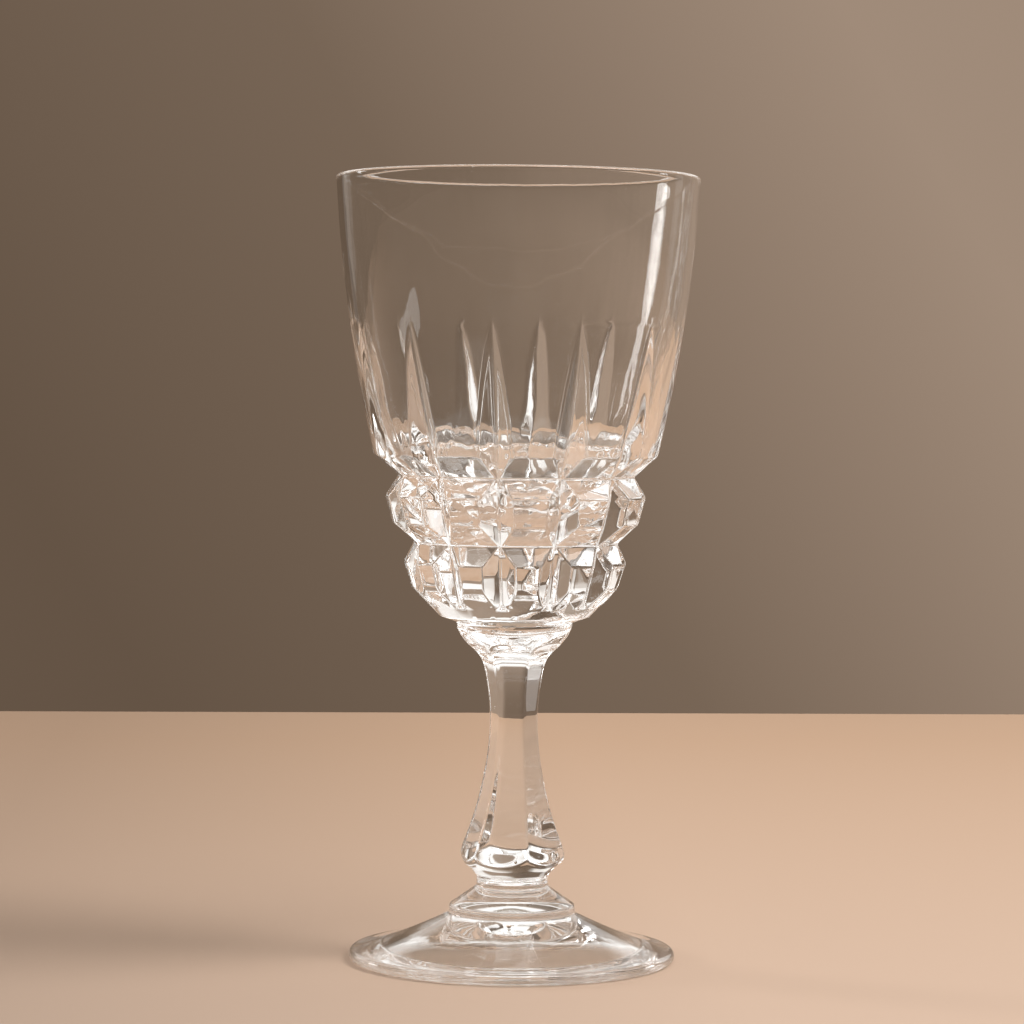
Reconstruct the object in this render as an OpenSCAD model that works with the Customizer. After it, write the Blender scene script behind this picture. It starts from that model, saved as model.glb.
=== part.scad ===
/* [Bowl] */
// Height of the bowl from its weld face to the rim
bowl_h = 63.6; // [55:0.2:75]
// Outer diameter at the rim
rim_d = 51.9; // [46:0.1:60]
// Wall thickness at the rim
rim_wall = 0.95; // [0.8:0.05:1.5]
// Wall thickness at the tips of the grooves
tip_wall = 1.35; // [1:0.05:1.8]
// How far the side bows out from a straight line between ledge and rim
wall_bow = 0.92; // [0.2:0.02:1.6]
// Outer diameter of the ledge where the smooth side ends
ledge_d = 40.5; // [38:0.1:43]
// Height of the ledge above the weld face
ledge_h = 23.8; // [22.5:0.1:25]
// Thickness of the solid glass under the cavity
floor_t = 14.8; // [13:0.2:18]
// Height above the ledge at which the cavity starts to draw in
shoulder_h = 2.2; // [1.5:0.1:4]

/* [Blocks] */
// Number of columns of blocks round the bowl
columns = 12; // [8:1:12]
// Turn of the first groove from the front
pattern_turn = -8.4; // [-15:0.1:15]
// Upper ring groove: width across its flats
ring_1_d = 32.9; // [32:0.1:34]
// Upper ring groove: height above the weld face
ring_1_h = 20.9; // [20.4:0.1:21.4]
// Lower ring groove: width across its flats
ring_2_d = 28.4; // [27.5:0.1:29.4]
// Lower ring groove: height above the weld face
ring_2_h = 11.4; // [10.8:0.1:12]
// Glass left between the upper ring groove and the cavity
ring_wall = 2.3; // [1.6:0.1:3]
// Upper blocks: width across the top of their faces
upper_top_d = 36.9; // [36:0.1:37.8]
// Upper blocks: width across the foot of their faces
upper_low_d = 34.9; // [34:0.1:35.6]
// Upper blocks: height of the bevel above their faces
upper_top_bevel = 2.9; // [2.4:0.1:3.4]
// Upper blocks: height of the bevel below their faces
upper_low_bevel = 2.7; // [2.2:0.1:3.2]
// Lower blocks: width across the top of their faces
lower_top_d = 31.6; // [30.8:0.1:32.4]
// Lower blocks: width across the foot of their faces
lower_low_d = 29.4; // [28.4:0.1:30.2]
// Lower blocks: height of the bevel above their faces
lower_top_bevel = 2.8; // [2.2:0.1:3.2]
// Lower blocks: height of the lower edge of their faces above the weld face
lower_face_h = 5; // [4.4:0.1:5.6]
// Diameter of the edge at the bottom of the bowl
base_d = 21.4; // [19.5:0.1:23]
// Height of that edge above the weld face
base_h = 0.85; // [0.5:0.05:1.2]

/* [Mitre grooves] */
// Height of the upper tip of each groove above the weld face
tip_h = 42.6; // [38:0.2:48]
// Half angle of the groove
groove_angle = 50; // [44:1:58]
// Width of the narrow flat along the bottom of the groove
groove_flat = 0.5; // [0.2:0.05:0.8]
// Glass left between the groove bottom and the cavity
groove_wall = 1; // [0.8:0.05:1.4]

/* [Stem] */
// Height of the stem between its two weld faces
stem_h = 37; // [28:0.5:50]
// Diameter of the collar under the bowl
collar_d = 16.6; // [14:0.1:19]
// Height of the round flare that ends in the collar
flare_h = 7.9; // [6.5:0.1:9.5]
// Number of facets on the shaft
facets = 6; // [6:1:8]
// Turn of one facet edge from the front
facet_turn = 20; // [0:1:60]
// How far the edges between the facets are rounded off
facet_edge = 0.08; // [0.05:0.01:0.15]
// Distance of the arched tops of the facets below the weld with the bowl
arch_drop = 2.9; // [2.4:0.1:3.4]
// Height over which each facet turns outwards to its arched top
arch_rise = 1.3; // [0.8:0.1:1.8]
// Width of the shaft across its facet edges at the waist
waist_d = 7.1; // [6:0.1:9]
// Height of the waist above the lower weld face
waist_h = 23.2; // [20:0.1:25]
// Width of the shaft across its facet edges at half the height of the flare
shaft_top_d = 10; // [9.2:0.1:11]
// Width of the knop across its facet edges
knop_d = 15.4; // [13.5:0.1:17.5]
// Height of the knop's widest part above the lower weld face
knop_h = 4; // [3.6:0.05:4.6]
// How late the shaft swells towards its ends
swell = 1.9; // [1.5:0.1:2.4]
// Diameter of the neck at the weld with the foot
neck_d = 10.2; // [8.5:0.1:11.5]
// Height of the plain bead at the neck
bead_h = 0.8; // [0.5:0.1:1.2]
// Width of the step above that bead
bead_step = 0.3; // [0.1:0.05:0.5]

/* [Foot] */
// Diameter of the foot
foot_d = 46.7; // [40:0.2:56]
// Height of the foot up to the weld with the stem
foot_h = 11.4; // [10:0.1:14]
// Thickness of the foot at its round edge
edge_t = 2; // [1.4:0.1:2.6]
// Height of the straight neck below the weld
neck_h = 0.8; // [0.4:0.1:1.4]
// Diameter of the collar disc on the foot
disc_d = 18.1; // [16:0.1:20]
// Height of the upper edge of the collar disc
disc_h = 7.85; // [7:0.05:8.5]
// Thickness of the collar disc at its edge
disc_t = 1.1; // [0.8:0.05:1.5]
// How far the slope of the foot starts inside the collar disc
disc_step = 0.15; // [0.1:0.05:0.4]
// How much the slope of the foot hollows towards its edge
slope_hollow = 1.2; // [1:0.05:1.6]
// Diameter of the hollow under the foot
hollow_d = 36.6; // [30:0.2:39]
// Depth of that hollow at the centre
hollow_t = 5; // [3.6:0.1:5.4]
// How late that hollow falls from its centre to the rest ring
hollow_curve = 1.5; // [1.2:0.05:2]

/* [Hidden] */
$fn = 96;

// Clear and slightly grey, as the glass looks
glass = [0.93, 0.95, 0.95, 0.45];

// Levels of the two welds, the rim and the ledge above the table
stem_z = foot_h;
bowl_z = stem_z + stem_h;
rim_z = bowl_z + bowl_h;
ledge_z = bowl_z + ledge_h;
floor_z = bowl_z + floor_t;
shoulder_z = ledge_z + shoulder_h;

// Angle of one column, and corner radius for a flat radius of 1
column_angle = 360 / columns;
corner = 1 / cos(column_angle / 2);

// Levels of the block tiers
ring_1_z = bowl_z + ring_1_h;
ring_2_z = bowl_z + ring_2_h;
upper_top_z = ring_1_z - upper_top_bevel;
upper_low_z = ring_2_z + upper_low_bevel;
lower_top_z = ring_2_z - lower_top_bevel;
lower_low_z = bowl_z + lower_face_h;
base_z = bowl_z + base_h;

// The bottom of each groove is one straight line from its tip through a corner of the lower ring groove
tip_z = bowl_z + tip_h;
tip_r = wall_r(tip_z);
groove_start_r = ring_2_d / 2 * corner;
groove_slope = (tip_r - groove_start_r) / (tip_z - ring_2_z);

// How far the shapes of the grooves and the facets reach past the glass that they are cut from
groove_reach = 5;
facet_reach = 1;

// Rounded rim, and the cone that the blocks are turned down to at the bottom
rim_round = rim_wall / 2;
rim_center_r = wall_r(rim_z - rim_round) - rim_round;
base_slope = (lower_low_d - base_d) / 2 / (lower_low_z - base_z);

// Heights above the stem's lower weld face: foot of the round flare, end of the shaft's swelling inside it,
// foot and top of the arches that end the facets
flare_foot_h = stem_h - flare_h;
shaft_top_h = stem_h - flare_h / 2;
arch_h = stem_h - arch_drop;
arch_foot_h = arch_h - arch_rise;

// Distance of a facet from the axis for an edge radius of 1
facet_flat = cos(180 / facets);

// Round edge of the foot, and the top of its slope under the collar disc
edge_round = edge_t / 2;
edge_center_r = foot_d / 2 - edge_round;
slope_top_r = disc_d / 2 - disc_step;
slope_top_z = disc_h - disc_t;

// Where the rounded floor turns level, as shares of the cavity's radius and depth at the upper ring groove
turn_share_r = 0.6;
turn_share_z = 0.22;

// Straight steps that stand for each curve
wall_steps = 10;
cavity_steps = 5;
round_steps = 8;
shaft_steps = 12;
flare_steps = 10;
facet_steps = 14;
arch_steps = 4;
slope_steps = 8;

// Outer radius of the smooth side at a level between ledge and rim
function wall_r(z) =
    let (t = (z - ledge_z) / (rim_z - ledge_z))
    ledge_d / 2 + (rim_d - ledge_d) / 2 * t + 4 * wall_bow * t * (1 - t);

// Radius of the groove bottoms at a level
function groove_r(z) = groove_start_r + groove_slope * (z - ring_2_z);

// Radius of the shaft's facet edges at a height above the stem's lower weld face
function shaft_r(h) =
    h < waist_h
    ? (waist_d + (knop_d - waist_d) * ((waist_h - h) / (waist_h - knop_h)) ^ swell) / 2
    : (waist_d + (shaft_top_d - waist_d) * ((h - waist_h) / (shaft_top_h - waist_h)) ^ swell) / 2;

// Radius of the round flare at such a height
function flare_r(h) =
    let (t = max((h - flare_foot_h) / flare_h, 0))
    (waist_d + (collar_d - waist_d) * (1 - cos(180 * t)) / 2) / 2;

// Radius of the turned stem, which the facets are cut into
function stem_r(h) = max(shaft_r(h), flare_r(h));

// Distance of the facets from the axis, which grows past the turned stem at their arched tops
function facet_r(h) =
    let (t = max((h - arch_foot_h) / arch_rise, 0))
    stem_r(h) * (facet_flat + (1 - facet_flat) * t ^ 2) + facet_edge;

// Points on a round arc from one angle to another
function arc(center, r, from, to, n) =
    [for (i = [0 : n]) let (a = from + (to - from) * i / n) center + r * [cos(a), sin(a)]];

// Points on a smooth curve through the points of p
function curve(p, n) = [
    for (i = [0 : len(p) - 2], k = [0 : n - 1])
        let (a = p[max(i - 1, 0)], b = p[i], c = p[i + 1], d = p[min(i + 2, len(p) - 1)], t = k / n)
        b + (c - a) * t / 2 + (a - 2.5 * b + 2 * c - d / 2) * t ^ 2 + (1.5 * (b - c) + (d - a) / 2) * t ^ 3,
    p[len(p) - 1]
];

// Turned section of the bowl: weld face, bottom cone, smooth side, rim, cavity and rounded floor
module bowl_outline() {
    cone_r = ledge_d / 2;
    outside = [
        for (i = [0 : wall_steps])
            let (z = ledge_z + (rim_z - rim_round - ledge_z) * i / wall_steps)
            [wall_r(z), z]
    ];
    rim = arc([rim_center_r, rim_z - rim_round], rim_round, 0, 180, round_steps);
    upper_z = (rim_z + tip_z) / 2;
    upper_wall = rim_wall + (tip_wall - rim_wall) / 4;
    side_z = (tip_z + shoulder_z) / 2;
    cup_r = ring_1_d / 2 - ring_wall;
    turn_r = cup_r * turn_share_r;
    turn_z = floor_z + (ring_1_z - floor_z) * turn_share_z;
    inside = curve([
        rim[round_steps],
        [wall_r(upper_z) - upper_wall, upper_z],
        [tip_r - tip_wall, tip_z],
        [groove_r(side_z) - groove_wall, side_z],
        [groove_r(shoulder_z) - groove_wall, shoulder_z],
        [cup_r, ring_1_z],
        [turn_r, turn_z],
        [0, floor_z],
        [-turn_r, turn_z]
    ], cavity_steps);
    center_i = len(inside) - 1 - cavity_steps;
    polygon(concat(
        [[0, bowl_z], [collar_d / 2, bowl_z], [base_d / 2, base_z]],
        [[cone_r, base_z + (cone_r - base_d / 2) / base_slope]],
        outside,
        [for (i = [1 : round_steps]) rim[i]],
        [for (i = [1 : center_i]) inside[i]]
    ));
}

// Blocks and ring grooves, as flats across the bowl, open upwards past the ledge
module tier_outline() {
    r = [ring_2_d, lower_top_d, lower_low_d, upper_low_d, upper_top_d, ring_1_d, ledge_d] * corner / 2;
    flare = (r[6] - r[5]) / (ledge_z - ring_1_z);
    polygon([
        [0, bowl_z],
        [r[2], bowl_z],
        [r[2], lower_low_z],
        [r[1], lower_top_z],
        [r[0], ring_2_z],
        [r[3], upper_low_z],
        [r[4], upper_top_z],
        [r[5], ring_1_z],
        [r[5] + flare * bowl_h, ring_1_z + bowl_h],
        [0, ring_1_z + bowl_h]
    ]);
}

// One mitre groove on the line of the groove bottoms
module groove() {
    half = groove_reach * tan(groove_angle) + groove_flat / 2;
    translate([groove_start_r, 0, ring_2_z])
        rotate([0, atan(groove_slope), 0])
            translate([0, 0, -ring_2_h])
                linear_extrude(bowl_h)
                    polygon([
                        [0, -groove_flat / 2],
                        [groove_reach, -half],
                        [groove_reach, half],
                        [0, groove_flat / 2]
                    ]);
}

module bowl() {
    color(glass)
        difference() {
            intersection() {
                rotate_extrude()
                    bowl_outline();
                rotate(pattern_turn - 90)
                    rotate_extrude(angle = 360, $fn = columns)
                        tier_outline();
            }
            for (i = [0 : columns - 1])
                rotate(pattern_turn - 90 + i * column_angle)
                    groove();
        }
}

// Heights from one level to another in even steps, without the first
function levels(from, to, n) = [for (i = [1 : n]) from + (to - from) * i / n];

// Turned stem: neck with its bead, cone under the knop, shaft, round flare and collar
module stem_outline() {
    cone_r = neck_d / 2 + bead_step;
    heights = concat(
        [knop_h],
        levels(knop_h, flare_foot_h, shaft_steps),
        levels(flare_foot_h, stem_h, flare_steps)
    );
    polygon(concat(
        [[0, 0], [neck_d / 2, 0], [neck_d / 2, bead_h], [cone_r, bead_h]],
        [for (h = heights) [stem_r(h), h]],
        [[0, stem_h]]
    ));
}

// Facets as flats across the stem, open past their arched tops and below the weld with the foot
module facet_outline() {
    heights = concat(
        [-facet_reach],
        levels(-facet_reach, waist_h, facet_steps),
        levels(waist_h, arch_foot_h, facet_steps),
        levels(arch_foot_h, arch_h, arch_steps)
    );
    polygon(concat(
        [[0, -facet_reach]],
        [for (h = heights) [facet_r(h) / facet_flat, h]],
        [[collar_d, arch_h], [collar_d, stem_h + facet_reach], [0, stem_h + facet_reach]]
    ));
}

module stem() {
    color(glass)
        translate([0, 0, stem_z])
            intersection() {
                rotate_extrude()
                    stem_outline();
                rotate(facet_turn - 90)
                    rotate_extrude(angle = 360, $fn = facets)
                        facet_outline();
            }
}

// Turned section of the foot: neck, cone, collar disc, slope, round edge, rest ring and hollow
module foot_outline() {
    slope = [
        for (i = [0 : slope_steps])
            let (u = i / slope_steps)
            [
                slope_top_r + (edge_center_r - slope_top_r) * u,
                edge_t + (slope_top_z - edge_t) * (1 - u) ^ slope_hollow
            ]
    ];
    edge = arc([edge_center_r, edge_round], edge_round, 90, -90, round_steps);
    hollow = [
        for (i = [0 : slope_steps])
            let (u = 1 - i / slope_steps)
            [hollow_d / 2 * u, hollow_t * (1 - u ^ hollow_curve)]
    ];
    polygon(concat(
        [[0, foot_h], [neck_d / 2, foot_h], [neck_d / 2, foot_h - neck_h]],
        [[disc_d / 2, disc_h], [disc_d / 2, disc_h - disc_t]],
        slope,
        [for (i = [1 : round_steps]) edge[i]],
        hollow
    ));
}

module foot() {
    color(glass)
        rotate_extrude()
            foot_outline();
}

bowl();
stem();
foot();
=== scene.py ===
import math

import bpy
from mathutils import Matrix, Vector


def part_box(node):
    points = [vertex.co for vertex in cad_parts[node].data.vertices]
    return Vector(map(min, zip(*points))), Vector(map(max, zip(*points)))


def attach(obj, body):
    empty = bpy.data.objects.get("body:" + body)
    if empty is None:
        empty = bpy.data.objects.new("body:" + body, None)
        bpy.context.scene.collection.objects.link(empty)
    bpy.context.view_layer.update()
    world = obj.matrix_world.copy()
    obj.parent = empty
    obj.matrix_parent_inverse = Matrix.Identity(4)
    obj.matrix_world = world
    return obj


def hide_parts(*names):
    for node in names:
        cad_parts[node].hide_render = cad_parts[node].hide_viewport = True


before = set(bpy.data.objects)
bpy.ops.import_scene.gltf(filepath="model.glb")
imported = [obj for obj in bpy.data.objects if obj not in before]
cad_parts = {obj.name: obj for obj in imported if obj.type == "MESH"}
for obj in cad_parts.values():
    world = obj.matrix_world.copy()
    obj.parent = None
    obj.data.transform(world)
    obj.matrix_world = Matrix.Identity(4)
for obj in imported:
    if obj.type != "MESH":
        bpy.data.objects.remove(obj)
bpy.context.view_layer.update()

# Sizes of the glass are in millimetres and angles in degrees; meshes are made in metres
MM = 0.001

bowl_low, bowl_high = (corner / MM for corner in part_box("bowl"))
stem_low, stem_high = (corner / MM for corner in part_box("stem"))
foot_low, foot_high = (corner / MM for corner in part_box("foot"))

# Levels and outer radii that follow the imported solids
NECK_WELD_Z = stem_low.z
BOWL_WELD_Z = bowl_low.z
RIM_Z = bowl_high.z
RIM_R = min(bowl_high.x, bowl_high.y, -bowl_low.x, -bowl_low.y)
FOOT_R = min(foot_high.x, foot_high.y, -foot_low.x, -foot_low.y)

# Radii of the two welds
COLLAR_R = 8.3
NECK_R = 5.1

# Bowl: ledge, smooth side and rim
LEDGE_Z = BOWL_WELD_Z + 23.8
LEDGE_R = 20.25
WALL_BOW = 0.92
RIM_WALL = 0.95

# Bowl: mitre grooves, which run from a tip on the smooth side down between the blocks
COLUMNS = 12
HALF_COLUMN = 180 / COLUMNS
PATTERN_TURN = -8.4
GROOVE_TIP_Z = BOWL_WELD_Z + 42.6
GROOVE_ANGLE = 50
GROOVE_FLAT = 0.5
DEEPEST_GROOVE = 6.0
GROOVE_END_Z = BOWL_WELD_Z + 3.1
GROOVE_END_DEPTH = 1.1
RUN_OUT_Z = BOWL_WELD_Z + 2.3

# Bowl: ring grooves, and the blocks between them by the levels and flat radii of their edges
RING_2_Z, RING_2_R = BOWL_WELD_Z + 11.4, 14.2
RING_1_Z, RING_1_R = BOWL_WELD_Z + 20.9, 16.45
UPPER_TOP_Z, UPPER_TOP_R = RING_1_Z - 2.9, 18.45
UPPER_LOW_Z, UPPER_LOW_R = RING_2_Z + 2.7, 17.45
LOWER_TOP_Z, LOWER_TOP_R = RING_2_Z - 2.8, 15.8
LOWER_LOW_Z, LOWER_LOW_R = BOWL_WELD_Z + 5.0, 14.7
BASE_Z, BASE_R = BOWL_WELD_Z + 0.85, 10.7

# Bowl: cavity, with the glass left beside the groove tips and bottoms and the turn into its rounded floor
SHOULDER_Z = LEDGE_Z + 2.2
CUP_R = RING_1_R - 2.3
FLOOR_Z = BOWL_WELD_Z + 14.8
GROOVE_WALL = 1.0
TIP_WALL = 1.35
TURN_SHARE_R = 0.6
TURN_SHARE_Z = 0.22

# Bowl: ripples that the plunger leaves low down in the cavity, longer upwards than sideways
RIPPLE_SCALE = 400.0
RIPPLE_DETAIL = 1.5
RIPPLE_STRETCH = (1, 1, 0.45)
RIPPLE_DEPTH = 0.42
RIPPLE_FADE = 4.0
RIPPLE_CALM_R = 3.0

# How far the heat has rounded each kind of edge, measured along both faces
PANEL_EDGE = 0.28
GROOVE_BOTTOM = 0.42
TIER_EDGE = 0.3
LEDGE_EDGE = 0.35
FLUTE_EDGE = 0.5
FLUTE_BOTTOM = 0.5
RUN_OUT_EDGE = 0.25
GROOVE_END_EDGE = 0.4
LOWER_EDGE = 0.7

# An edge is rounded over at most this share of a face, and of a section's radius
MOST_OF_FACE = 0.45
MOST_OF_SECTION = 0.9

# Least width of a groove's side, in millimetres on the tiers and in degrees at the groove tips
LEAST_SIDE = 0.08
LEAST_SIDE_ANGLE = 0.4

# Stations from the middle of a panel to the bottom of a groove
PANEL_STEPS = 4
EDGE_STEPS = 4
SIDE_STEPS = 3
BOTTOM_STEPS = 3
STATIONS = PANEL_STEPS + EDGE_STEPS + SIDE_STEPS + BOTTOM_STEPS
BASE_EDGE_ANGLE = 6.0

# Rows along each part of the bowl
TIER_EDGE_ROWS = 4
FLUTE_ROWS = 26
SMOOTH_SIDE_ROWS = 20
RIM_ROWS = 10
CAVITY_ROWS = 12

# Stem: heights above the weld with the foot, and radii over the facet edges
STEM_H = stem_high.z - stem_low.z
FACETS = 6
HALF_FACET = 180 / FACETS
BEAD_H = 0.8
BEAD_STEP = 0.3
BEAD_STEP_H = 0.12
KNOP_H, KNOP_R = 3.45, 8.05
WAIST_H, WAIST_R = 23.2, 3.55
SHAFT_TOP_R = 5.0
SWELL = 1.9
FLARE_H = 7.9
FLARE_BLEND = 0.6
ARCH_H = STEM_H - 2.9
ARCH_RISE = 1.3

# Stem: rounded edges, the roll of the knop, and the hollows that scallop the cone under it
FACET_EDGE = 0.7
ARCH_EDGE = 0.25
BEAD_EDGE = 0.12
BEAD_STEP_EDGE = 0.15
SCALLOP_EDGE = 0.25
SCALLOP_SHARE = 0.45
SCALLOP_HOLLOW = 0.35
KNOP_ROLL = 1.7
ROLL_END = 2.3 * KNOP_ROLL
SHAFT_LOW = KNOP_H + ROLL_END + 1

# Stem: turn of the facets from the front at the waist and the knop, between which the shaft is twisted
WAIST_TURN = 23.5
KNOP_TURN = 16.5

# Stem: stations across half a facet, and rows along each part
FACET_STATIONS = 6
FACET_EDGE_STATIONS = 5
STEM_EDGE_ROWS = 8
ROLL_ROWS = 4
SHAFT_ROWS = 36
FLARE_ROWS = 30

# Foot: heights above the table
FOOT_COPIES = 120
NECK_LOW_Z = NECK_WELD_Z - 0.8
DISC_R = 9.05
DISC_Z = 7.85
DISC_T = 1.1
DISC_STEP = 0.15
EDGE_T = 1.6
SLOPE_HOLLOW = 1.35
HOLLOW_R = 18.3
HOLLOW_T = 5.0
HOLLOW_POWER = 1.5

# Foot: rounded edges with their rows, and rows along each curve
NECK_EDGE, NECK_EDGE_ROWS = 0.75, 8
DISC_EDGE, DISC_EDGE_ROWS = 0.35, 6
STEP_EDGE, STEP_EDGE_ROWS = 0.3, 5
SLOPE_ROWS = 24
ROUND_EDGE_ROWS = 16
HOLLOW_ROWS = 30

# Least length to divide by, distance within which copies are joined, and halvings in a search
TINY = 1e-6
JOIN_WITHIN = 0.002
HALVINGS = 40

# Angle of the side that faces the camera
FRONT = -90


def mix(a, b, share):
    """Point at a share of the way from a to b."""
    return tuple(p + (q - p) * share for p, q in zip(a, b))


def bend(a, b, c, share):
    """Point on a round bend that leaves a towards b and comes to c from b."""
    return mix(mix(a, b, share), mix(b, c, share), share)


def shares(steps):
    """Even shares from 0 to 1."""
    return [i / steps for i in range(steps + 1)]


def between(value, low, high):
    """Share of the way that a value has come from low to high, kept from 0 to 1."""
    return min(max((value - low) / (high - low), 0), 1)


def towards(a, b, reach):
    """Point a reach away from a on the way to b."""
    gap = math.dist(a, b)
    return mix(a, b, min(reach / gap, MOST_OF_FACE)) if gap > TINY else a


def soft_corner(before, corner, after, reach, steps):
    """Points round a softened corner between two straight runs."""
    start = towards(corner, before, reach)
    end = towards(corner, after, reach)
    return [bend(start, corner, end, t) for t in shares(steps)]


def smooth_curve(points, steps):
    """Points on a smooth curve through the given points."""
    out = []
    last = len(points) - 1
    for i in range(last):
        a, b, c, d = (points[min(max(i + k, 0), last)] for k in (-1, 0, 1, 2))
        for t in shares(steps)[:-1]:
            out.append(tuple(
                q + (r - p) * t / 2 + (p - 2.5 * q + 2 * r - s / 2) * t ** 2
                + (1.5 * (q - r) + (s - p) / 2) * t ** 3
                for p, q, r, s in zip(a, b, c, d)))
    out.append(points[last])
    return out


def soften_rows(spans, steps):
    """Rows of the spans, each a row and its reach, with several rows round each corner that has a reach."""
    rows = [row for row, _ in spans]
    out = []
    for i, (row, reach) in enumerate(spans):
        if not reach:
            out.append(row)
            continue
        bends = [soft_corner(a, b, c, reach, steps) for a, b, c in zip(rows[i - 1], row, rows[i + 1])]
        out.extend([list(step) for step in zip(*bends)])
    return out


def polar(r, angle):
    """Sideways and outward place of a point at a radius and an angle from the slice's middle."""
    return r * math.sin(math.radians(angle)), r * math.cos(math.radians(angle))


def both_halves(half):
    """Stations across a whole slice, from those of the half beside its middle."""
    return [(-x, y, z) for x, y, z in half[:0:-1]] + half


def meet(outside, low, high):
    """Value between low and high from which on a point lies outside, by halving."""
    for _ in range(HALVINGS):
        mid = (low + high) / 2
        if outside(mid):
            high = mid
        else:
            low = mid
    return high


def wall_r(z):
    """Outer radius of the smooth side."""
    t = (z - LEDGE_Z) / (RIM_Z - LEDGE_Z)
    return LEDGE_R + (RIM_R - LEDGE_R) * t + 4 * WALL_BOW * t * (1 - t)


CORNER = 1 / math.cos(math.radians(HALF_COLUMN))
GROOVE_START_R = RING_2_R * CORNER
GROOVE_SLOPE = (wall_r(GROOVE_TIP_Z) - GROOVE_START_R) / (GROOVE_TIP_Z - RING_2_Z)
GROOVE_SPREAD = math.tan(math.radians(GROOVE_ANGLE)) * math.cos(math.atan(GROOVE_SLOPE))
TIP_ANGLE = HALF_COLUMN - LEAST_SIDE_ANGLE
EVEN_ANGLES = [HALF_COLUMN * i / STATIONS for i in range(-STATIONS, STATIONS + 1)]


def groove_r(z):
    """Radius of the groove bottoms."""
    return GROOVE_START_R + GROOVE_SLOPE * (z - RING_2_Z)


def groove_side(bottom_r, depth):
    """Point on a groove's side, given its height above the groove bottom."""
    x, y = polar(bottom_r + depth, HALF_COLUMN)
    side = GROOVE_FLAT / 2 + depth * GROOVE_SPREAD
    turn = math.radians(HALF_COLUMN)
    return x - side * math.cos(turn), y + side * math.sin(turn)


def column_row(panel, edge, bottom, side=None, panel_edge=PANEL_EDGE, groove_bottom=GROOVE_BOTTOM):
    """Stations across one column: panel(share) from middle to edge, then side(share) to the groove bottom."""
    side = side or (lambda t: mix(edge, bottom, t))
    panel_len = max(math.dist(panel(0), edge), TINY)
    side_len = max(math.dist(edge, bottom), TINY)
    panel_end = 1 - min(panel_edge / panel_len, MOST_OF_FACE)
    side_start = min(panel_edge / side_len, MOST_OF_FACE)
    side_end = 1 - min(groove_bottom / side_len, MOST_OF_FACE)
    half = [panel(panel_end * t) for t in shares(PANEL_STEPS)[:-1]]
    half += [bend(panel(panel_end), edge, side(side_start), t) for t in shares(EDGE_STEPS)[:-1]]
    half += [side(side_start + (side_end - side_start) * t) for t in shares(SIDE_STEPS)[:-1]]
    x, y, z = side(side_end)
    turn = math.radians(2 * HALF_COLUMN)
    next_side = (y * math.sin(turn) - x * math.cos(turn), y * math.cos(turn) + x * math.sin(turn), z)
    half += [bend((x, y, z), bottom, next_side, t / 2) for t in shares(BOTTOM_STEPS)]
    return both_halves(half)


def tier_row(z, flat_r, bottom_r=None):
    """Row across a flat panel of the block tiers."""
    bottom_r = min(bottom_r or groove_r(z), flat_r * CORNER)
    depth = meet(lambda d: groove_side(bottom_r, d)[1] > flat_r, 0, DEEPEST_GROOVE)
    widest = flat_r * math.tan(math.radians(HALF_COLUMN)) - LEAST_SIDE
    width = min(groove_side(bottom_r, depth)[0], widest)
    bottom = (*polar(bottom_r, HALF_COLUMN), z)
    return column_row(lambda t: (width * t, flat_r, z), (width, flat_r, z), bottom)


def flute_row(z):
    """Row across the smooth side where the grooves cut into it."""
    r = wall_r(z)
    depth = meet(lambda d: math.hypot(*groove_side(groove_r(z), d)) > r, 0, DEEPEST_GROOVE)
    x, y = groove_side(groove_r(z), depth)
    angle = min(math.degrees(math.atan2(x, y)), TIP_ANGLE)
    bottom = (*polar(min(groove_r(z), r), HALF_COLUMN), z)
    return column_row(
        lambda t: (*polar(r, angle * t), z), (*polar(r, angle), z), bottom,
        panel_edge=FLUTE_EDGE, groove_bottom=FLUTE_BOTTOM)


def station_angles(edge_angle):
    """Angles of a column's stations on a circle, for a panel edge at the given angle."""
    plain = column_row(
        lambda t: (*polar(1, edge_angle * t), 0),
        (*polar(1, edge_angle), 0),
        (*polar(1, HALF_COLUMN), 0),
        lambda t: (*polar(1, edge_angle + (HALF_COLUMN - edge_angle) * t), 0))
    return [math.degrees(math.atan2(x, y)) for x, y, _ in plain]


def round_row(r, z, angles=EVEN_ANGLES):
    """Row on a plain circle, with as many stations as a column."""
    return [(*polar(r, angle), z) for angle in angles]


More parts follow.
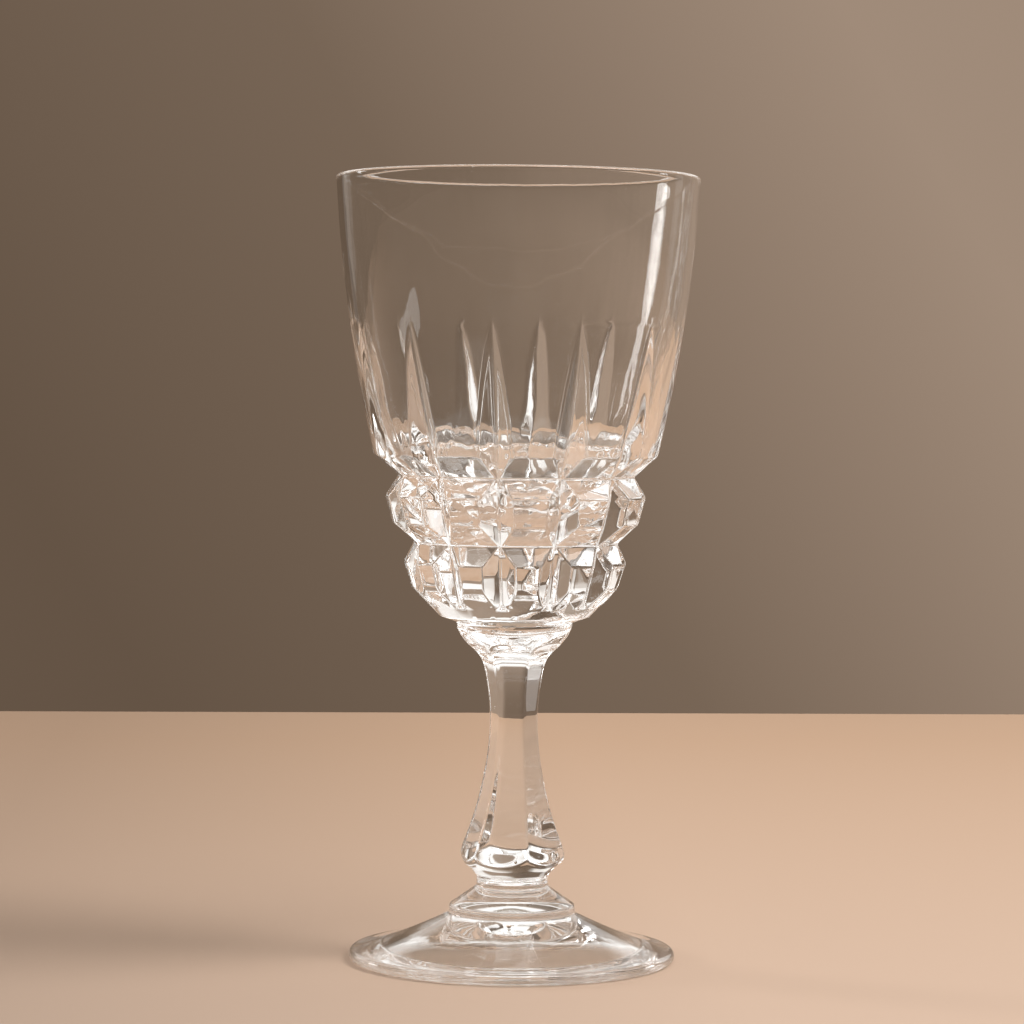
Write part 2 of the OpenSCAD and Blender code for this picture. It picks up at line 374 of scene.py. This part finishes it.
def bowl_outside():
    """Rows of one column of the bowl's outside, from the weld up to the round of the rim."""
    cone = (LOWER_LOW_R - BASE_R) / (LOWER_LOW_Z - BASE_Z)
    end_r = BASE_R + cone * (GROOVE_END_Z - BASE_Z)
    run_out_r = BASE_R + cone * (RUN_OUT_Z - BASE_Z)
    base_angles = station_angles(BASE_EDGE_ANGLE)
    tip_angles = station_angles(TIP_ANGLE)
    spans = [
        (round_row(0, BOWL_WELD_Z, base_angles), 0),
        (round_row(COLLAR_R, BOWL_WELD_Z, base_angles), 0),
        (round_row(BASE_R, BASE_Z, base_angles), TIER_EDGE),
        (round_row(run_out_r, RUN_OUT_Z, base_angles), RUN_OUT_EDGE),
        (tier_row(GROOVE_END_Z, end_r, end_r * CORNER - GROOVE_END_DEPTH), GROOVE_END_EDGE),
        (tier_row(LOWER_LOW_Z, LOWER_LOW_R), LOWER_EDGE),
        (tier_row(LOWER_TOP_Z, LOWER_TOP_R), TIER_EDGE),
        (tier_row(RING_2_Z, RING_2_R), TIER_EDGE),
        (tier_row(UPPER_LOW_Z, UPPER_LOW_R), TIER_EDGE),
        (tier_row(UPPER_TOP_Z, UPPER_TOP_R), TIER_EDGE),
        (tier_row(RING_1_Z, RING_1_R), TIER_EDGE),
        (flute_row(LEDGE_Z), LEDGE_EDGE),
    ]
    rise = GROOVE_TIP_Z - LEDGE_Z
    spans += [(flute_row(LEDGE_Z + rise * t), 0) for t in shares(FLUTE_ROWS)[1:-1]]
    for t in shares(SMOOTH_SIDE_ROWS):
        z = GROOVE_TIP_Z + (RIM_Z - RIM_WALL / 2 - GROOVE_TIP_Z) * t
        spans.append((round_row(wall_r(z), z, mix(tip_angles, EVEN_ANGLES, min(2 * t, 1))), 0))
    return soften_rows(spans, TIER_EDGE_ROWS)


def bowl_inside():
    """Rows of one column over the rim and down the cavity to the middle of its floor."""
    rim_round = RIM_WALL / 2
    rim_low_z = RIM_Z - rim_round
    rim_center = wall_r(rim_low_z) - rim_round
    rows = []
    for t in shares(RIM_ROWS)[1:]:
        turn = math.pi * t
        rows.append(round_row(rim_center + rim_round * math.cos(turn), rim_low_z + rim_round * math.sin(turn)))
    upper_z = (RIM_Z + GROOVE_TIP_Z) / 2
    side_z = (GROOVE_TIP_Z + SHOULDER_Z) / 2
    turn_r, turn_z = CUP_R * TURN_SHARE_R, FLOOR_Z + (RING_1_Z - FLOOR_Z) * TURN_SHARE_Z
    cavity = smooth_curve([
        (rim_center - rim_round, rim_low_z),
        (wall_r(upper_z) - RIM_WALL - (TIP_WALL - RIM_WALL) / 4, upper_z),
        (wall_r(GROOVE_TIP_Z) - TIP_WALL, GROOVE_TIP_Z),
        (groove_r(side_z) - GROOVE_WALL, side_z),
        (groove_r(SHOULDER_Z) - GROOVE_WALL, SHOULDER_Z),
        (CUP_R, RING_1_Z),
        (turn_r, turn_z),
        (0, FLOOR_Z),
        (-turn_r, turn_z)], CAVITY_ROWS)
    return rows + [round_row(r, z) for r, z in cavity[1:-CAVITY_ROWS]]


def ripple_depth(row):
    """Depth of the ripples on a row of the cavity, in metres, which fade towards the rim and the axis."""
    x, y, z = row[0]
    upwards = between(z, SHOULDER_Z + RIPPLE_FADE, SHOULDER_Z)
    return RIPPLE_DEPTH * MM * upwards * min(math.hypot(x, y) / RIPPLE_CALM_R, 1)


def shaft_r(h):
    """Radius of the shaft's facet edges, before they are rounded."""
    if h < WAIST_H:
        return WAIST_R + (KNOP_R - WAIST_R) * ((WAIST_H - h) / (WAIST_H - KNOP_H)) ** SWELL
    top = STEM_H - FLARE_H / 2
    return WAIST_R + (SHAFT_TOP_R - WAIST_R) * ((h - WAIST_H) / (top - WAIST_H)) ** SWELL


def flare_r(h):
    """Radius of the round flare under the bowl."""
    t = between(h, STEM_H - FLARE_H, STEM_H)
    return WAIST_R + (COLLAR_R - WAIST_R) * (1 - math.cos(math.pi * t)) / 2


def facet_r(flat_r, angle):
    """Radius of a six-sided section with rounded edges, at an angle from a facet's middle."""
    turn = math.radians(angle)
    half = math.radians(HALF_FACET)
    edge = min(FACET_EDGE, flat_r * MOST_OF_SECTION)
    if flat_r * math.tan(turn) <= (flat_r - edge) * math.tan(half):
        return flat_r / math.cos(turn)
    centre = (flat_r - edge) / math.cos(half)
    off = half - turn
    return centre * math.cos(off) + math.sqrt(max(edge ** 2 - (centre * math.sin(off)) ** 2, 0))


def facet_angles(flat_r):
    """Angles of the stations from a facet's middle to its edge, closer together on the edge."""
    edge = min(FACET_EDGE, flat_r * MOST_OF_SECTION)
    start = math.degrees(math.atan((flat_r - edge) * math.tan(math.radians(HALF_FACET)) / flat_r))
    flat = [start * t for t in shares(FACET_STATIONS)[:-1]]
    return flat + [start + (HALF_FACET - start) * t for t in shares(FACET_EDGE_STATIONS)]


STEM_ANGLES = facet_angles(KNOP_R)
FLAT_SHARE = math.cos(math.radians(HALF_FACET))
CONE_R = NECK_R + BEAD_STEP
CONE_SLOPE = (KNOP_R - CONE_R) / (KNOP_H - BEAD_H)


def stem_r(h, angle):
    """Radius of the stem above its knop: facets that run up into the round flare and end in arches."""
    corner_r = shaft_r(h)
    if h > STEM_H - FLARE_H:
        gap = corner_r - flare_r(h)
        corner_r = max(corner_r, flare_r(h)) + max(FLARE_BLEND - abs(gap), 0) ** 2 / (4 * FLARE_BLEND)
    t = between(h, ARCH_H - ARCH_RISE, ARCH_H)
    hexagon = facet_r(corner_r * (FLAT_SHARE + (1 - FLAT_SHARE) * t ** 2), angle)
    if t == 0:
        return hexagon
    gap = hexagon - corner_r
    return min(hexagon, corner_r) - max(ARCH_EDGE * t - abs(gap), 0) ** 2 / (4 * ARCH_EDGE * t)


def cone_r(h):
    """Radius of the cone under the knop."""
    return CONE_R + CONE_SLOPE * (h - BEAD_H)


def crease_h(angle):
    """Height at which the cone under the knop meets the facets."""
    return meet(lambda h: cone_r(h) > facet_r(shaft_r(h) * FLAT_SHARE, angle), BEAD_H, WAIST_H)


def facet_row(radius, height):
    """Row across one facet: radius(height, angle) at height(angle)."""
    return both_halves([(*polar(radius(height(a), a), a), height(a)) for a in STEM_ANGLES])


def ring_row(r, h):
    """Row across one facet's share of a plain circle."""
    return facet_row(lambda _h, _a: r, lambda _a: h)


def twisted(row):
    """Row turned with the twist of the shaft and lifted to its level above the table."""
    middle_h = row[len(row) // 2][2]
    turn = math.radians((WAIST_TURN - KNOP_TURN) * between(middle_h, KNOP_H, WAIST_H))
    return [
        (x * math.cos(turn) + y * math.sin(turn), y * math.cos(turn) - x * math.sin(turn), h + NECK_WELD_Z)
        for x, y, h in row]


def stem_rows():
    """Rows of one facet of the stem, from the lower weld to the upper one."""
    def roll_h(angle, share):
        roll_end = crease_h(angle) + ROLL_END
        return roll_end + (SHAFT_LOW - roll_end) * share

    def level_rows(low, high, parts):
        return [(facet_row(stem_r, lambda _a, t=t: low + (high - low) * t), 0) for t in parts]

    flare_low = STEM_H - FLARE_H
    spans = [
        (ring_row(0, 0), 0),
        (ring_row(NECK_R, 0), 0),
        (ring_row(NECK_R, BEAD_H), BEAD_EDGE),
        (ring_row(CONE_R, BEAD_H + BEAD_STEP_H), BEAD_STEP_EDGE),
        (facet_row(
            lambda h, _a: cone_r(h) - SCALLOP_HOLLOW,
            lambda a: BEAD_H + (crease_h(a) - BEAD_H) * SCALLOP_SHARE), SCALLOP_EDGE),
        (facet_row(stem_r, crease_h), KNOP_ROLL),
    ]
    spans += [(facet_row(stem_r, lambda a, t=t: roll_h(a, t)), 0) for t in shares(ROLL_ROWS)]
    spans += level_rows(SHAFT_LOW, flare_low, shares(SHAFT_ROWS)[1:])
    spans += level_rows(flare_low, STEM_H, shares(FLARE_ROWS)[1:-1])
    spans += [(ring_row(COLLAR_R, STEM_H), 0), (ring_row(0, STEM_H), 0)]
    return [twisted(row) for row in soften_rows(spans, STEM_EDGE_ROWS)]


def foot_outline():
    """Half section of the foot, from the weld down the outside and under to the middle."""
    edge = EDGE_T / 2
    edge_center = FOOT_R - edge
    slope_r = DISC_R - DISC_STEP
    slope_z = DISC_Z - DISC_T
    slope = [
        (slope_r + (edge_center - slope_r) * t, EDGE_T + (slope_z - EDGE_T) * (1 - t) ** SLOPE_HOLLOW)
        for t in shares(SLOPE_ROWS)[1:]]
    weld, neck, disc, step = (NECK_R, NECK_WELD_Z), (NECK_R, NECK_LOW_Z), (DISC_R, DISC_Z), (DISC_R, slope_z)
    points = [(0, NECK_WELD_Z), weld]
    points += soft_corner(weld, neck, disc, NECK_EDGE, NECK_EDGE_ROWS)
    points += soft_corner(neck, disc, step, DISC_EDGE, DISC_EDGE_ROWS)
    points += soft_corner(disc, step, slope[0], STEP_EDGE, STEP_EDGE_ROWS)
    points += slope
    for t in shares(ROUND_EDGE_ROWS)[1:]:
        turn = math.pi / 2 - math.pi * t
        points.append((edge_center + edge * math.cos(turn), edge + edge * math.sin(turn)))
    return points + [(HOLLOW_R * t, HOLLOW_T * (1 - t ** HOLLOW_POWER)) for t in reversed(shares(HOLLOW_ROWS))]


def foot_rows():
    """Rows of one narrow slice of the foot, from below to the weld."""
    half = 180 / FOOT_COPIES
    return [[(*polar(r, -half), z), (*polar(r, half), z)] for r, z in reversed(foot_outline())]


def set_inputs(tree, node, inputs):
    """Sets inputs of a node to values, or links them to outputs of other nodes."""
    for socket, value in inputs.items():
        if isinstance(value, bpy.types.NodeSocket):
            tree.links.new(value, node.inputs[socket])
        else:
            node.inputs[socket].default_value = value


def add_node(tree, kind, inputs=None, **settings):
    """New node with its settings and inputs."""
    node = tree.nodes.new(kind)
    for setting, value in settings.items():
        setattr(node, setting, value)
    set_inputs(tree, node, inputs or {})
    return node


def reckon(tree, operation, *values, clamp=False):
    """Output of a sum with outputs or numbers."""
    inputs = dict(enumerate(values))
    return add_node(tree, "ShaderNodeMath", inputs, operation=operation, use_clamp=clamp).outputs["Value"]


def ramp(tree, value, reach, ends=(0.0, 1.0)):
    """Output that runs from one end to the other while a value passes its reach."""
    return add_node(tree, "ShaderNodeMapRange", {
        "Value": value, "From Min": reach[0], "From Max": reach[1],
        "To Min": ends[0], "To Max": ends[1]}).outputs["Result"]


def blend(tree, share, first, second, way="MIX"):
    """Output of a mix of two colours."""
    inputs = {"Factor": share, "A": first, "B": second}
    return add_node(tree, "ShaderNodeMix", inputs, data_type="RGBA", blend_type=way).outputs["Result"]


def shader_tree(name):
    """New material, its tree and its shader."""
    material = bpy.data.materials.new(name)
    material.use_nodes = True
    return material, material.node_tree, material.node_tree.nodes["Principled BSDF"]


def clear_glass():
    """Fire-polished clear glass: fine draw lines, a soft waviness and a few specks."""
    material, tree, shader = shader_tree("clear_pressed_glass")
    place = add_node(tree, "ShaderNodeTexCoord").outputs["Object"]
    drawn = add_node(tree, "ShaderNodeMapping", {"Vector": place, "Scale": (1.0, 1.0, 0.12)})
    draw_lines = add_node(tree, "ShaderNodeTexNoise", {
        "Vector": drawn.outputs["Vector"], "Scale": 260.0, "Detail": 3.0})
    wave = add_node(tree, "ShaderNodeTexNoise", {"Vector": place, "Scale": 90.0, "Detail": 1.0})
    line_bump = add_node(tree, "ShaderNodeBump", {
        "Height": draw_lines.outputs["Fac"], "Strength": 0.12, "Distance": 0.0002})
    wave_bump = add_node(tree, "ShaderNodeBump", {
        "Height": wave.outputs["Fac"], "Strength": 0.12, "Distance": 0.0006,
        "Normal": line_bump.outputs["Normal"]})
    specks = add_node(tree, "ShaderNodeTexVoronoi", {"Vector": place, "Scale": 420.0})
    tint = add_node(tree, "ShaderNodeValToRGB", {"Fac": wave.outputs["Fac"]})
    tint.color_ramp.elements[0].color = (0.955, 0.96, 0.955, 1)
    tint.color_ramp.elements[1].color = (0.99, 0.99, 0.985, 1)
    set_inputs(tree, shader, {
        "IOR": 1.52,
        "Transmission Weight": 1.0,
        "Normal": wave_bump.outputs["Normal"],
        "Roughness": ramp(tree, specks.outputs["Distance"], (0.03, 0.06), (0.25, 0.0)),
        "Base Color": tint.outputs["Color"]})
    return material


def weld_seam():
    """The faces inside a hot weld, which can't be seen because the glass runs through them."""
    material, tree, shader = shader_tree("weld_seam")
    set_inputs(tree, shader, {"Alpha": 0.0})
    return material


def copies_round_axis():
    """Node tree that sets copies of one slice round the upright axis, joins them and adds the ripples."""
    tree = bpy.data.node_groups.new("copies_round_axis", "GeometryNodeTree")
    for name, kind in (
            ("Slice", "Geometry"), ("Copies", "Int"), ("Step", "Float"), ("Join Within", "Float"),
            ("Ripple Scale", "Float"), ("Glass", "Material"), ("Weld", "Material")):
        tree.interface.new_socket(name, in_out="INPUT", socket_type="NodeSocket" + kind)
    tree.interface.new_socket("Piece", in_out="OUTPUT", socket_type="NodeSocketGeometry")
    given = add_node(tree, "NodeGroupInput").outputs

    index = add_node(tree, "GeometryNodeInputIndex").outputs["Index"]
    turn = add_node(tree, "ShaderNodeCombineXYZ", {"Z": reckon(tree, "MULTIPLY", index, given["Step"])})
    rotation = add_node(tree, "FunctionNodeEulerToRotation", {"Euler": turn.outputs["Vector"]})
    points = add_node(tree, "GeometryNodePoints", {"Count": given["Copies"]})
    copies = add_node(tree, "GeometryNodeInstanceOnPoints", {
        "Points": points.outputs["Points"], "Instance": given["Slice"],
        "Rotation": rotation.outputs["Rotation"]})
    realize = add_node(tree, "GeometryNodeRealizeInstances", {"Geometry": copies.outputs["Instances"]})
    join = add_node(tree, "GeometryNodeMergeByDistance", {
        "Geometry": realize.outputs["Geometry"], "Distance": given["Join Within"]})

    spot = add_node(tree, "GeometryNodeInputPosition").outputs["Position"]
    stretched = add_node(tree, "ShaderNodeVectorMath", {0: spot, 1: RIPPLE_STRETCH}, operation="MULTIPLY")
    ripple = add_node(tree, "ShaderNodeTexNoise", {
        "Vector": stretched.outputs["Vector"], "Scale": given["Ripple Scale"], "Detail": RIPPLE_DETAIL})
    swing = reckon(tree, "SUBTRACT", ripple.outputs["Fac"], 0.5)
    depth = add_node(tree, "GeometryNodeInputNamedAttribute", {"Name": "ripple"}).outputs["Attribute"]
    push = add_node(tree, "ShaderNodeVectorMath", {
        "Vector": add_node(tree, "GeometryNodeInputNormal").outputs["Normal"],
        "Scale": reckon(tree, "MULTIPLY", swing, depth)}, operation="SCALE")
    rippled = add_node(tree, "GeometryNodeSetPosition", {
        "Geometry": join.outputs["Geometry"], "Offset": push.outputs["Vector"]})

    marked = add_node(tree, "GeometryNodeInputNamedAttribute", {"Name": "weld_face"}, data_type="BOOLEAN")
    glass = add_node(tree, "GeometryNodeSetMaterial", {
        "Geometry": rippled.outputs["Geometry"], "Material": given["Glass"]})
    weld = add_node(tree, "GeometryNodeSetMaterial", {
        "Geometry": glass.outputs["Geometry"], "Selection": marked.outputs["Attribute"],
        "Material": given["Weld"]})
    add_node(tree, "NodeGroupOutput", {"Piece": weld.outputs["Geometry"]})
    return tree


def slice_mesh(name, rows, turn, weld_zs, row_ripples):
    """Mesh of one slice, turned to its place round the axis, with its weld faces and ripple depths marked."""
    across = len(rows[0])
    out = math.radians(turn)
    points = [
        ((y * math.cos(out) - x * math.sin(out)) * MM, (y * math.sin(out) + x * math.cos(out)) * MM, z * MM)
        for row in rows for x, y, z in row]
    faces = []
    welds = []
    for i in range(len(rows) - 1):
        levels = [z for row in rows[i:i + 2] for _, _, z in row]
        is_weld = any(all(abs(z - weld_z) < JOIN_WITHIN for z in levels) for weld_z in weld_zs)
        for j in range(across - 1):
            a = i * across + j
            faces.append((a, a + 1, a + across + 1, a + across))
            welds.append(is_weld)
    mesh = bpy.data.meshes.new(name)
    mesh.from_pydata(points, [], faces, shade_flat=False)
    mesh.attributes.new("weld_face", "BOOLEAN", "FACE").data.foreach_set("value", welds)
    ripples = [depth for depth in row_ripples for _ in range(across)]
    mesh.attributes.new("ripple", "FLOAT", "POINT").data.foreach_set("value", ripples)
    return mesh


GLASS = clear_glass()
WELD = weld_seam()
ROUND_TREE = copies_round_axis()


def glass_piece(name, node, rows, copies, turn, weld_zs, row_ripples=None):
    """One piece of the glass: a slice repeated round the axis, joined, and put in its node's place."""
    one_slice = slice_mesh(name + "_slice", rows, turn, weld_zs, row_ripples or [0.0] * len(rows))
    piece = bpy.data.objects.new(name, one_slice)
    bpy.context.collection.objects.link(piece)
    ring = piece.modifiers.new("ring", "NODES")
    ring.node_group = ROUND_TREE
    sockets = {item.name: item.identifier for item in ROUND_TREE.interface.items_tree if item.in_out == "INPUT"}
    ring[sockets["Copies"]] = copies
    ring[sockets["Step"]] = 2 * math.pi / copies
    ring[sockets["Join Within"]] = JOIN_WITHIN * MM
    ring[sockets["Ripple Scale"]] = RIPPLE_SCALE
    ring[sockets["Glass"]] = GLASS
    ring[sockets["Weld"]] = WELD
    facets = piece.modifiers.new("facets", "WEIGHTED_NORMAL")
    facets.mode = "FACE_AREA"
    facets.weight = 50
    bpy.context.view_layer.update()
    graph = bpy.context.evaluated_depsgraph_get()
    finished = bpy.data.meshes.new_from_object(
        piece.evaluated_get(graph), preserve_all_data_layers=True, depsgraph=graph)
    finished.name = name
    piece.modifiers.clear()
    piece.data = finished
    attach(piece, "root")
    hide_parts(node)


outside_rows, inside_rows = bowl_outside(), bowl_inside()
glass_piece(
    "cut_bowl", "bowl", outside_rows + inside_rows, COLUMNS, FRONT + PATTERN_TURN + HALF_COLUMN, [BOWL_WELD_Z],
    [0.0] * len(outside_rows) + [ripple_depth(row) for row in inside_rows])
glass_piece(
    "faceted_stem", "stem", stem_rows(), FACETS, FRONT + KNOP_TURN - HALF_FACET, [NECK_WELD_Z, BOWL_WELD_Z])
glass_piece("round_foot", "foot", foot_rows(), FOOT_COPIES, FRONT, [NECK_WELD_Z])

# Floor, in metres: its edges, its turn, and how little it lies below the foot so that the two don't touch
FLOOR_BACK, FLOOR_FRONT, FLOOR_SIDE = 0.364, -1.6, 1.5
FLOOR_TURN = 3.5
FLOOR_DROP = 0.00005

# Floor: colours near and far with the depths they belong to, and painted shade from left to right, darker on
# the left, with the reach it changes over
FLOOR_NEAR = (0.615, 0.443, 0.333, 1)
FLOOR_FAR = (0.6, 0.395, 0.262, 1)
FLOOR_DEPTH = (-0.05, 0.3)
FLOOR_PAINTED_SHADE_REACH = (-0.085, 0.03)
FLOOR_PAINTED_SHADE = (0.72, 1.03)

# Soft light from all round, which the floor is lit by
SOFT_LIGHT = (1.0, 0.96, 0.92, 1)
SOFT_STRENGTH = 0.3

# Backdrop: colours from left to right, with painted shade that makes it darker on the left and lighter on the
# right, and the slanted reach they change over
BACKDROP_LEFT = (0.128, 0.088, 0.06, 1)
BACKDROP_MIDDLE = (0.185, 0.131, 0.092, 1)
BACKDROP_RIGHT = (0.35, 0.258, 0.193, 1)
BACKDROP_SLANT = 0.6
BACKDROP_REACH = (-0.16, 0.16)

# Backdrop above its dusky part: colours, and the heights at which each takes over
BACKDROP_HIGH = (1.0, 0.95, 0.9, 1)
SURROUND = (1.2, 1.18, 1.16, 1)
HIGH_FROM = (0.41, 0.47)
SURROUND_FROM = (0.46, 0.56)

# How much lower those heights lie behind the glass, and how much higher again on the left and in the centre
BEHIND, BEHIND_LIFT = (0.55, 0.75), 0.28
LEFT_SIDE, LEFT_DUSK = (-0.3, -0.05), -0.1
CENTRE, CENTRE_DUSK = (0.18, 0.32), -0.1

# Dimmer ceiling part high up behind the glass: colour, and where it starts upwards and backwards
UPPER_BACK = (0.38, 0.31, 0.25, 1)
UPPER_FROM = (0.42, 0.52)
BACK_FROM = (0.45, 0.6)

# Lamps, in metres and watts: name, place, width and height, and power. Each is layered of ellipses, by size
# and share of the power, for a soft border
GLASS_MIDDLE = (0, 0, 0.09)
LAYERED_LAMPS = (
    ("right_box", (0.62, -0.14, 0.75), (0.4, 0.36), 5.5),
    ("side_box", (0.73, 0.12, 0.3), (0.34, 0.04), 0.4),
    ("left_box", (-0.72, 0.36, 0.23), (0.14, 0.15), 1.5),
    ("back_box", (-0.55, 0.68, 0.23), (0.14, 0.14), 0.06),
)
LAYERS = ((1.3, 0.4), (1.0, 0.35), (0.7, 0.25))
LOW_BACK_PLACE, LOW_BACK_SIZE, LOW_BACK_POWER = (-0.55, 0.68, 0.14), (0.16, 0.3), 0.018
TOP_PLACE, TOP_AIM, TOP_SIZE = (0.3, -0.4, 1.1), (0.1, 0, 0.05), (0.6, 0.6)
TOP_POWER = 2.4
FILL_POWER = 3.2

# Camera, fitted to the outline of the glass
CAMERA_PLACE = (-0.0005, -0.4866, 0.08257)
CAMERA_PITCH = 2.172
CAMERA_ROLL = 0.52
CAMERA_LENS = 119.85
CAMERA_SENSOR = 36.0
CAMERA_CLIP = 0.01

# Light goes back and forth many times between the walls of cut glass
GLASS_BOUNCES = 64
WELD_BOUNCES = 16


def studio_floor():
    """Plain pale floor that ends behind the glass, with painted shade that makes its left side darker."""
    mesh = bpy.data.meshes.new("studio_floor")
    mesh.from_pydata([
        (-FLOOR_SIDE, FLOOR_FRONT, -FLOOR_DROP), (FLOOR_SIDE, FLOOR_FRONT, -FLOOR_DROP),
        (FLOOR_SIDE, FLOOR_BACK, -FLOOR_DROP), (-FLOOR_SIDE, FLOOR_BACK, -FLOOR_DROP)], [], [(0, 1, 2, 3)])
    floor = bpy.data.objects.new("studio_floor", mesh)
    bpy.context.collection.objects.link(floor)
    floor.rotation_euler.z = math.radians(FLOOR_TURN)
    material, tree, shader = shader_tree("pale_floor")
    place = add_node(tree, "ShaderNodeTexCoord").outputs["Object"]
    parts = add_node(tree, "ShaderNodeSeparateXYZ", {"Vector": place}).outputs
    color = blend(tree, ramp(tree, parts["Y"], FLOOR_DEPTH), FLOOR_NEAR, FLOOR_FAR)
    # Painted shade: the floor's colour is darkened towards the left, where less light would fall
    shade = ramp(tree, parts["X"], FLOOR_PAINTED_SHADE_REACH, FLOOR_PAINTED_SHADE)
    set_inputs(tree, shader, {
        "Base Color": blend(tree, 1.0, color, shade, "MULTIPLY"),
        "Roughness": 0.75,
        "Specular IOR Level": 0.2})
    mesh.materials.append(material)


def backdrop_color(tree):
    """Output with the backdrop's colour in each direction."""
    place = add_node(tree, "ShaderNodeTexCoord").outputs["Generated"]
    parts = add_node(tree, "ShaderNodeSeparateXYZ", {"Vector": place}).outputs
    slanted = reckon(tree, "MULTIPLY_ADD", parts["Z"], BACKDROP_SLANT, parts["X"])
    # Painted shade and light: the backdrop darkens towards the left and lightens towards the right
    shade = add_node(tree, "ShaderNodeValToRGB", {"Fac": ramp(tree, slanted, BACKDROP_REACH)})
    shade.color_ramp.elements[0].color = BACKDROP_LEFT
    shade.color_ramp.elements[1].color = BACKDROP_RIGHT
    shade.color_ramp.elements.new(0.5).color = BACKDROP_MIDDLE

    behind = ramp(tree, parts["Y"], BEHIND, (0.0, BEHIND_LIFT))
    left = ramp(tree, parts["X"], LEFT_SIDE, (LEFT_DUSK, 0.0))
    centre = ramp(tree, reckon(tree, "ABSOLUTE", parts["X"]), CENTRE, (CENTRE_DUSK, 0.0))
    lift = reckon(tree, "ADD", behind, reckon(tree, "ADD", left, centre))
    height = reckon(tree, "ADD", parts["Z"], lift)
    color = blend(tree, ramp(tree, height, HIGH_FROM), shade.outputs["Color"], BACKDROP_HIGH)
    color = blend(tree, ramp(tree, height, SURROUND_FROM), color, SURROUND)
    upper = ramp(tree, parts["Z"], UPPER_FROM)
    far = ramp(tree, parts["Y"], BACK_FROM)
    return blend(tree, reckon(tree, "MULTIPLY", upper, far), color, UPPER_BACK)


def studio_world():
    """Soft even light, and a backdrop with painted shade, darker on the left, for what the camera and the glass
    see.
    """
    world = bpy.data.worlds.new("studio")
    bpy.context.scene.world = world
    world.use_nodes = True
    tree = world.node_tree
    soft_light = tree.nodes["Background"]
    set_inputs(tree, soft_light, {"Color": SOFT_LIGHT, "Strength": SOFT_STRENGTH})
    backdrop = add_node(tree, "ShaderNodeBackground", {"Color": backdrop_color(tree)})
    path = add_node(tree, "ShaderNodeLightPath").outputs
    seen = reckon(tree, "ADD", path["Is Camera Ray"], path["Is Glossy Ray"], clamp=True)
    seen_through = reckon(tree, "ADD", seen, path["Is Transmission Ray"], clamp=True)
    direct = reckon(tree, "SUBTRACT", seen_through, path["Diffuse Depth"], clamp=True)
    choice = add_node(tree, "ShaderNodeMixShader", {
        "Fac": direct, 1: soft_light.outputs["Background"], 2: backdrop.outputs["Background"]})
    set_inputs(tree, tree.nodes["World Output"], {"Surface": choice.outputs["Shader"]})


def soft_box(name, place, size, power, aim=GLASS_MIDDLE, shadow=True):
    """Elliptical soft light that points at a spot."""
    data = bpy.data.lights.new(name, "AREA")
    data.shape = "ELLIPSE"
    data.size, data.size_y = size
    data.energy = power
    data.use_shadow = shadow
    lamp = bpy.data.objects.new(name, data)
    bpy.context.collection.objects.link(lamp)
    lamp.visible_camera = False
    away = [p - q for p, q in zip(place, aim)]
    flat = math.hypot(away[0], away[1])
    turn = Matrix.Rotation(math.atan2(away[0], -away[1]), 4, "Z")
    tilt = Matrix.Rotation(math.atan2(flat, away[2]), 4, "X")
    lamp.matrix_world = Matrix.Translation(place) @ turn @ tilt


def studio_lamps():
    """Soft lamps at both sides, behind and above, and a fill that keeps the floor under the glass pale."""
    for name, place, (width, height), power in LAYERED_LAMPS:
        for grow, share in LAYERS:
            soft_box(name, place, (width * grow, height * grow), power * share)
    soft_box("low_back_box", LOW_BACK_PLACE, LOW_BACK_SIZE, LOW_BACK_POWER)
    soft_box("top_box", TOP_PLACE, TOP_SIZE, TOP_POWER, TOP_AIM)
    soft_box("fill_box", TOP_PLACE, TOP_SIZE, FILL_POWER, TOP_AIM, shadow=False)


def photo_camera():
    """Camera at the photograph's distance, height and tilt."""
    data = bpy.data.cameras.new("photo_camera")
    data.sensor_width = CAMERA_SENSOR
    data.lens = CAMERA_LENS
    data.clip_start = CAMERA_CLIP
    camera = bpy.data.objects.new("photo_camera", data)
    bpy.context.collection.objects.link(camera)
    tilt = Matrix.Rotation(math.radians(90 - CAMERA_PITCH), 4, "X")
    roll = Matrix.Rotation(math.radians(CAMERA_ROLL), 4, "Z")
    camera.matrix_world = Matrix.Translation(CAMERA_PLACE) @ tilt @ roll
    bpy.context.scene.camera = camera


studio_floor()
studio_world()
studio_lamps()
photo_camera()

scene = bpy.context.scene
scene.view_settings.view_transform = "Standard"
scene.cycles.max_bounces = GLASS_BOUNCES
scene.cycles.glossy_bounces = GLASS_BOUNCES
scene.cycles.transmission_bounces = GLASS_BOUNCES
scene.cycles.transparent_max_bounces = WELD_BOUNCES
